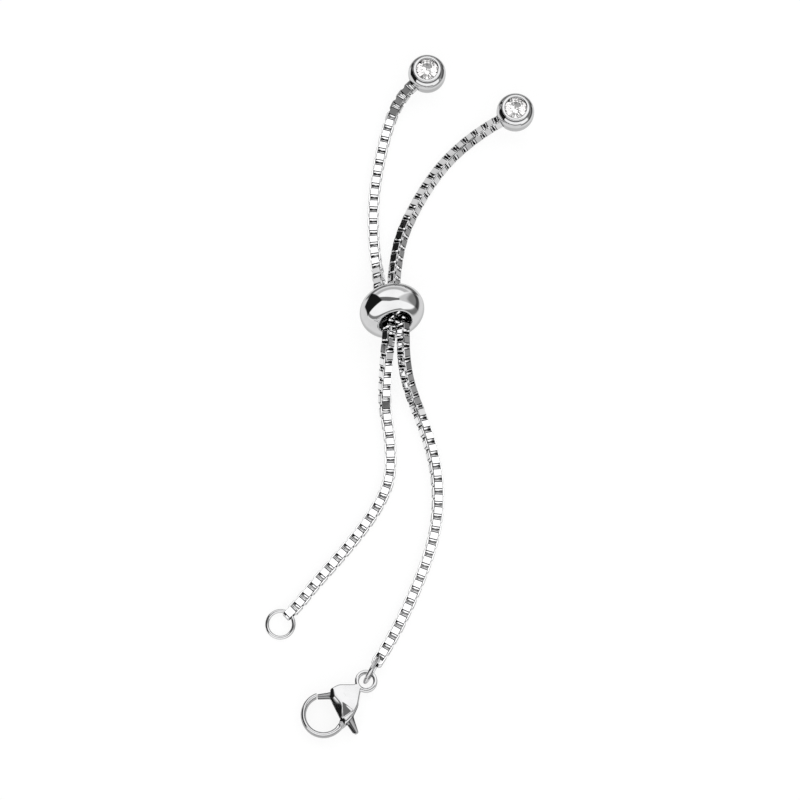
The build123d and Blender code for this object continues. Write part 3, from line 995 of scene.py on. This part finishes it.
class EXTENDER_OT_clasp(bpy.types.Operator):
    """Make the clasp's body, lever and rivet"""

    bl_idname = "extender.clasp"
    bl_label = "Clasp"

    def execute(self, context):
        sizes = context.scene.extender.clasp
        plane = Matrix.Translation(sizes.hook_middle) @ Matrix.Rotation(sizes.heading, 4, "Z")
        pivot = plane @ Vector(sizes.pivot)
        self.make_body(sizes, plane, pivot)
        self.make_lever(sizes, plane)
        self.make_rivet(sizes, pivot)
        return {"FINISHED"}

    def make_cast(self, name, bm, body, node, passes):
        """A cast piece with smooth faces, whose edges are rounded as tumbling does."""
        for face in bm.faces:
            face.smooth = True
        piece = make_piece(name, bm, body, [node], steel_finish("cast_steel"))
        tumbled = piece.modifiers.new("tumbled", "SMOOTH")
        tumbled.factor = 0.5
        tumbled.iterations = passes

    def make_body(self, sizes, plane, pivot):
        """The body with its rivet's holes closed over, its throat sloped and its plain scoop cut."""
        bm = merged_copy("clasp_body")
        bore = [
            face
            for face in bm.faces
            if all((vert.co.xy - pivot.xy).length < sizes.rivet_hole for vert in face.verts)
        ]
        bmesh.ops.delete(bm, geom=bore, context="FACES")
        bmesh.ops.holes_fill(bm, edges=[edge for edge in bm.edges if edge.is_boundary], sides=0)
        form = cast_form(bm, sizes.grain)
        press_down(form, plane, lambda local: hook_height(sizes, local))
        press_down(form, plane, lambda local: cheek_height(sizes, local))
        form.normal_update()
        inverse = plane.inverted()
        # Painted shade inside the slot and on the flanks of the hook's band
        painted_shade_mask = form.verts.layers.float.new("painted_shade_mask")
        for vert in form.verts:
            vert[painted_shade_mask] = body_shade(sizes, inverse @ vert.co, vert.normal)
        self.make_cast("hook_and_eye", form, "extender", "clasp_body", 6)

    def make_lever(self, sizes, plane):
        """The lever with its nose and its thumb tab rounded."""
        form = cast_form(merged_copy("clasp_lever"), sizes.lever_grain * sizes.grain)
        press_down(form, plane, lambda local: limb_height(sizes, local))
        inverse = plane.inverted()
        # Painted shade over the lever's middle, lighter on its limbs' crowns than on their sides
        painted_shade_mask = form.verts.layers.float.new("painted_shade_mask")
        for vert in form.verts:
            vert[painted_shade_mask] = lever_shade(sizes, inverse @ vert.co)
        self.make_cast("swinging_lever", form, "lever", "clasp_lever", 4)

    def make_rivet(self, sizes, pivot):
        """The rivet, which ends under the closed holes."""
        bm = merged_copy("clasp_pin")
        about_pivot = Matrix.Translation(-pivot)
        bmesh.ops.scale(bm, vec=(1, 1, sizes.rivet_share), space=about_pivot, verts=bm.verts)
        mark_sharp(bm, 40)
        make_piece("rivet", bm, "extender", ["clasp_pin"], steel_finish("cast_steel"))


# Flat cards that hang over the stage: how dark, how soft, and their corners in order, each as its turn
# from +X and its tilt from overhead in degrees
CARDS = [
    (0.99, 3.0, [(131, 112), (150, 43), (193, 24), (213, 99), (172, 106)]),
    (0.85, 2.5, [(150, 46), (90, 8), (352, 33), (334, 36), (280, 20), (195, 27)]),
    (0.40, 6.0, [(352, 24), (40, 84), (27, 111), (0, 106), (-22, 109), (-26, 74), (-29, 28)]),
    (0.62, 10.0, [(20, 62), (38, 92), (27, 111), (0, 106), (-22, 109), (-25, 86), (-12, 58)]),
]

# Arcs round the stage: how dark, how soft, and their spans of turn and of tilt in degrees
ARCS = [
    (0.50, 5.0, (42, 138), (61, 84)),
    (0.25, 8.0, (35, 145), (84, 112)),
    (0.80, 2.5, (-150, -62), (84, 95)),
    (0.75, 4.0, (-64, 44), (92, 110)),
    (0.75, 4.0, (35, 145), (100, 124)),
    (0.31, 3.0, (-400, 400), (97, 400)),
    (0.30, 12.0, (-400, 400), (142, 400)),
]


def soft_step(tree, value, at, soft, row, falls=False):
    """A soft step from 0 to 1 where a value passes a place, or from 1 to 0."""
    ends = (1.0, 0.0) if falls else (0.0, 1.0)
    return ranged(tree, value, at - soft, at + soft, *ends, row, "SMOOTHSTEP")


def product(tree, parts, row):
    """The product of numbers that vary by direction."""
    result = parts[0]
    for part in parts[1:]:
        result = maths(tree, "MULTIPLY", result, part, row)
    return result


def card(tree, across, along, soft, corners, row):
    """How far a direction is inside a flat card, from 0 to 1."""
    places = [
        Vector((tilt * math.cos(math.radians(turn)), tilt * math.sin(math.radians(turn))))
        for turn, tilt in corners
    ]
    sides = []
    for i, (start, end) in enumerate(zip(places, places[1:] + places[:1])):
        side = (end - start).normalized()
        inwards = Vector((side.y, -side.x))
        if inwards.dot(places[(i + 2) % len(places)] - start) < 0:
            inwards = -inwards
        reach_across = maths(tree, "MULTIPLY", across, inwards.x, row)
        reach_along = maths(tree, "MULTIPLY", along, inwards.y, row)
        depth = maths(tree, "ADD", reach_across, reach_along, row)
        sides.append(soft_step(tree, depth, inwards.dot(start), soft, row))
    return product(tree, sides, row)


def arc(tree, turn, tilt, soft, turns, tilts, row):
    """How far a direction is inside an arc, from 0 to 1, by its turn and its tilt in degrees."""
    sides = []
    for value, (low, high) in ((turn, turns), (tilt, tilts)):
        sides.append(soft_step(tree, value, low, soft, row))
        sides.append(soft_step(tree, value, high, soft, row, falls=True))
    return product(tree, sides, row)


class EXTENDER_OT_stage(bpy.types.Operator):
    """Set the pale floor, the soft light with its dark flags, and the camera"""

    bl_idname = "extender.stage"
    bl_label = "Stage"

    def execute(self, context):
        settings = context.scene.extender.stage
        self.make_floor(context, settings)
        self.make_light(context, settings)
        self.make_camera(context, settings)
        context.scene.view_settings.view_transform = "Standard"
        return {"FINISHED"}

    def make_floor(self, context, settings):
        """A wide pale sheet of paper."""
        bm = bmesh.new()
        bmesh.ops.create_grid(bm, x_segments=1, y_segments=1, size=settings.floor_size / 2)
        mesh = bpy.data.meshes.new("floor")
        bm.to_mesh(mesh)
        bm.free()
        floor = bpy.data.objects.new("floor", mesh)
        context.scene.collection.objects.link(floor)
        material, tree, shader = new_material("floor_paper")
        feed(
            tree,
            shader,
            Base_Color=(*settings.floor, 1.0),
            Roughness=0.9,
            Specular_IOR_Level=0.2,
            Emission_Color=(1, 1, 1, 1),
            Emission_Strength=settings.floor_glow,
        )
        # Polished pieces don't mirror the paper, so that they show the light below it
        ray = node_in(tree, "ShaderNodeLightPath", (0, 300))
        clear = node_in(tree, "ShaderNodeBsdfTransparent", (0, -300))
        mix = node_in(tree, "ShaderNodeMixShader", (300, 0), Fac=ray.outputs["Is Glossy Ray"])
        tree.links.new(shader.outputs["BSDF"], mix.inputs[1])
        tree.links.new(clear.outputs["BSDF"], mix.inputs[2])
        feed(tree, tree.nodes["Material Output"], Surface=mix.outputs["Shader"])
        mesh.materials.append(material)

    def make_light(self, context, settings):
        """Soft white light from all round, with dark flags that show in the polish."""
        world = bpy.data.worlds.new("soft_light")
        world.use_nodes = True
        context.scene.world = world
        tree = world.node_tree
        background = tree.nodes["Background"]
        ray = node_in(tree, "ShaderNodeTexCoord", (-1300, 0)).outputs["Generated"]
        split = node_in(tree, "ShaderNodeSeparateXYZ", (-1100, 0), Vector=ray)
        x, y, z = (split.outputs[axis] for axis in "XYZ")
        heading = maths(tree, "ARCTAN2", y, x)
        turn = maths(tree, "DEGREES", heading)
        tilt = maths(tree, "DEGREES", maths(tree, "ARCCOSINE", z))
        across = maths(tree, "MULTIPLY", tilt, maths(tree, "COSINE", heading))
        along = maths(tree, "MULTIPLY", tilt, maths(tree, "SINE", heading))
        flags = []
        for dark, soft, corners in CARDS:
            flags.append((dark, card(tree, across, along, soft, corners, -300 * len(flags))))
        for dark, soft, turns, tilts in ARCS:
            flags.append((dark, arc(tree, turn, tilt, soft, turns, tilts, -300 * len(flags))))
        held_back = [maths(tree, "MULTIPLY", inside, dark) for dark, inside in flags]
        kept = [maths(tree, "SUBTRACT", 1.0, part) for part in held_back]
        strength = maths(tree, "MULTIPLY", product(tree, kept, 300), settings.light)
        seen = node_in(tree, "ShaderNodeLightPath", (-200, 700)).outputs["Is Camera Ray"]
        shown = node_in(tree, "ShaderNodeMix", (200, 300), Factor=seen, A=strength, B=1.0)
        feed(tree, background, Strength=shown.outputs["Result"], Color=(1, 1, 1, 1))

    def make_camera(self, context, settings):
        """The camera at the photograph's angle."""
        data = bpy.data.cameras.new("camera")
        data.lens = settings.lens
        data.sensor_width = 36.0
        data.clip_start = 0.01
        data.clip_end = 50.0
        camera = bpy.data.objects.new("camera", data)
        context.scene.collection.objects.link(camera)
        back = direction(-math.pi / 2, settings.elevation)
        camera.location = Vector(settings.target) + back * settings.distance
        camera.rotation_euler = (math.pi / 2 - settings.elevation, 0, 0)
        context.scene.camera = camera


OPERATORS = (
    EXTENDER_OT_strands,
    EXTENDER_OT_end_beads,
    EXTENDER_OT_stones,
    EXTENDER_OT_slider,
    EXTENDER_OT_rings,
    EXTENDER_OT_clasp,
    EXTENDER_OT_stage,
)


class EXTENDER_PT_panel(bpy.types.Panel):
    """Lists the extender chain's sizes and steps"""

    bl_idname = "EXTENDER_PT_panel"
    bl_label = "Extender Chain"
    bl_space_type = "VIEW_3D"
    bl_region_type = "UI"
    bl_category = "Extender"

    def draw(self, context):
        settings = context.scene.extender
        for operator in OPERATORS:
            self.layout.operator(operator.bl_idname)
        for group in ("strands", "beads", "slider", "rings", "clasp", "finish", "stage"):
            box = self.layout.box()
            box.label(text=group.capitalize())
            values = getattr(settings, group)
            for name in values.__annotations__:
                box.prop(values, name)


CLASSES = (
    EXTENDER_PG_strands,
    EXTENDER_PG_beads,
    EXTENDER_PG_slider,
    EXTENDER_PG_rings,
    EXTENDER_PG_clasp,
    EXTENDER_PG_finish,
    EXTENDER_PG_stage,
    EXTENDER_PG_settings,
    *OPERATORS,
    EXTENDER_PT_panel,
)


def register():
    for cls in CLASSES:
        bpy.utils.register_class(cls)
    bpy.types.Scene.extender = PointerProperty(type=EXTENDER_PG_settings)


def unregister():
    del bpy.types.Scene.extender
    for cls in reversed(CLASSES):
        bpy.utils.unregister_class(cls)


def main():
    """Makes the whole scene."""
    register()
    bpy.ops.extender.strands()
    bpy.ops.extender.end_beads()
    bpy.ops.extender.stones()
    bpy.ops.extender.slider()
    bpy.ops.extender.rings()
    bpy.ops.extender.clasp()
    bpy.ops.extender.stage()


if __name__ == "__main__":
    main()
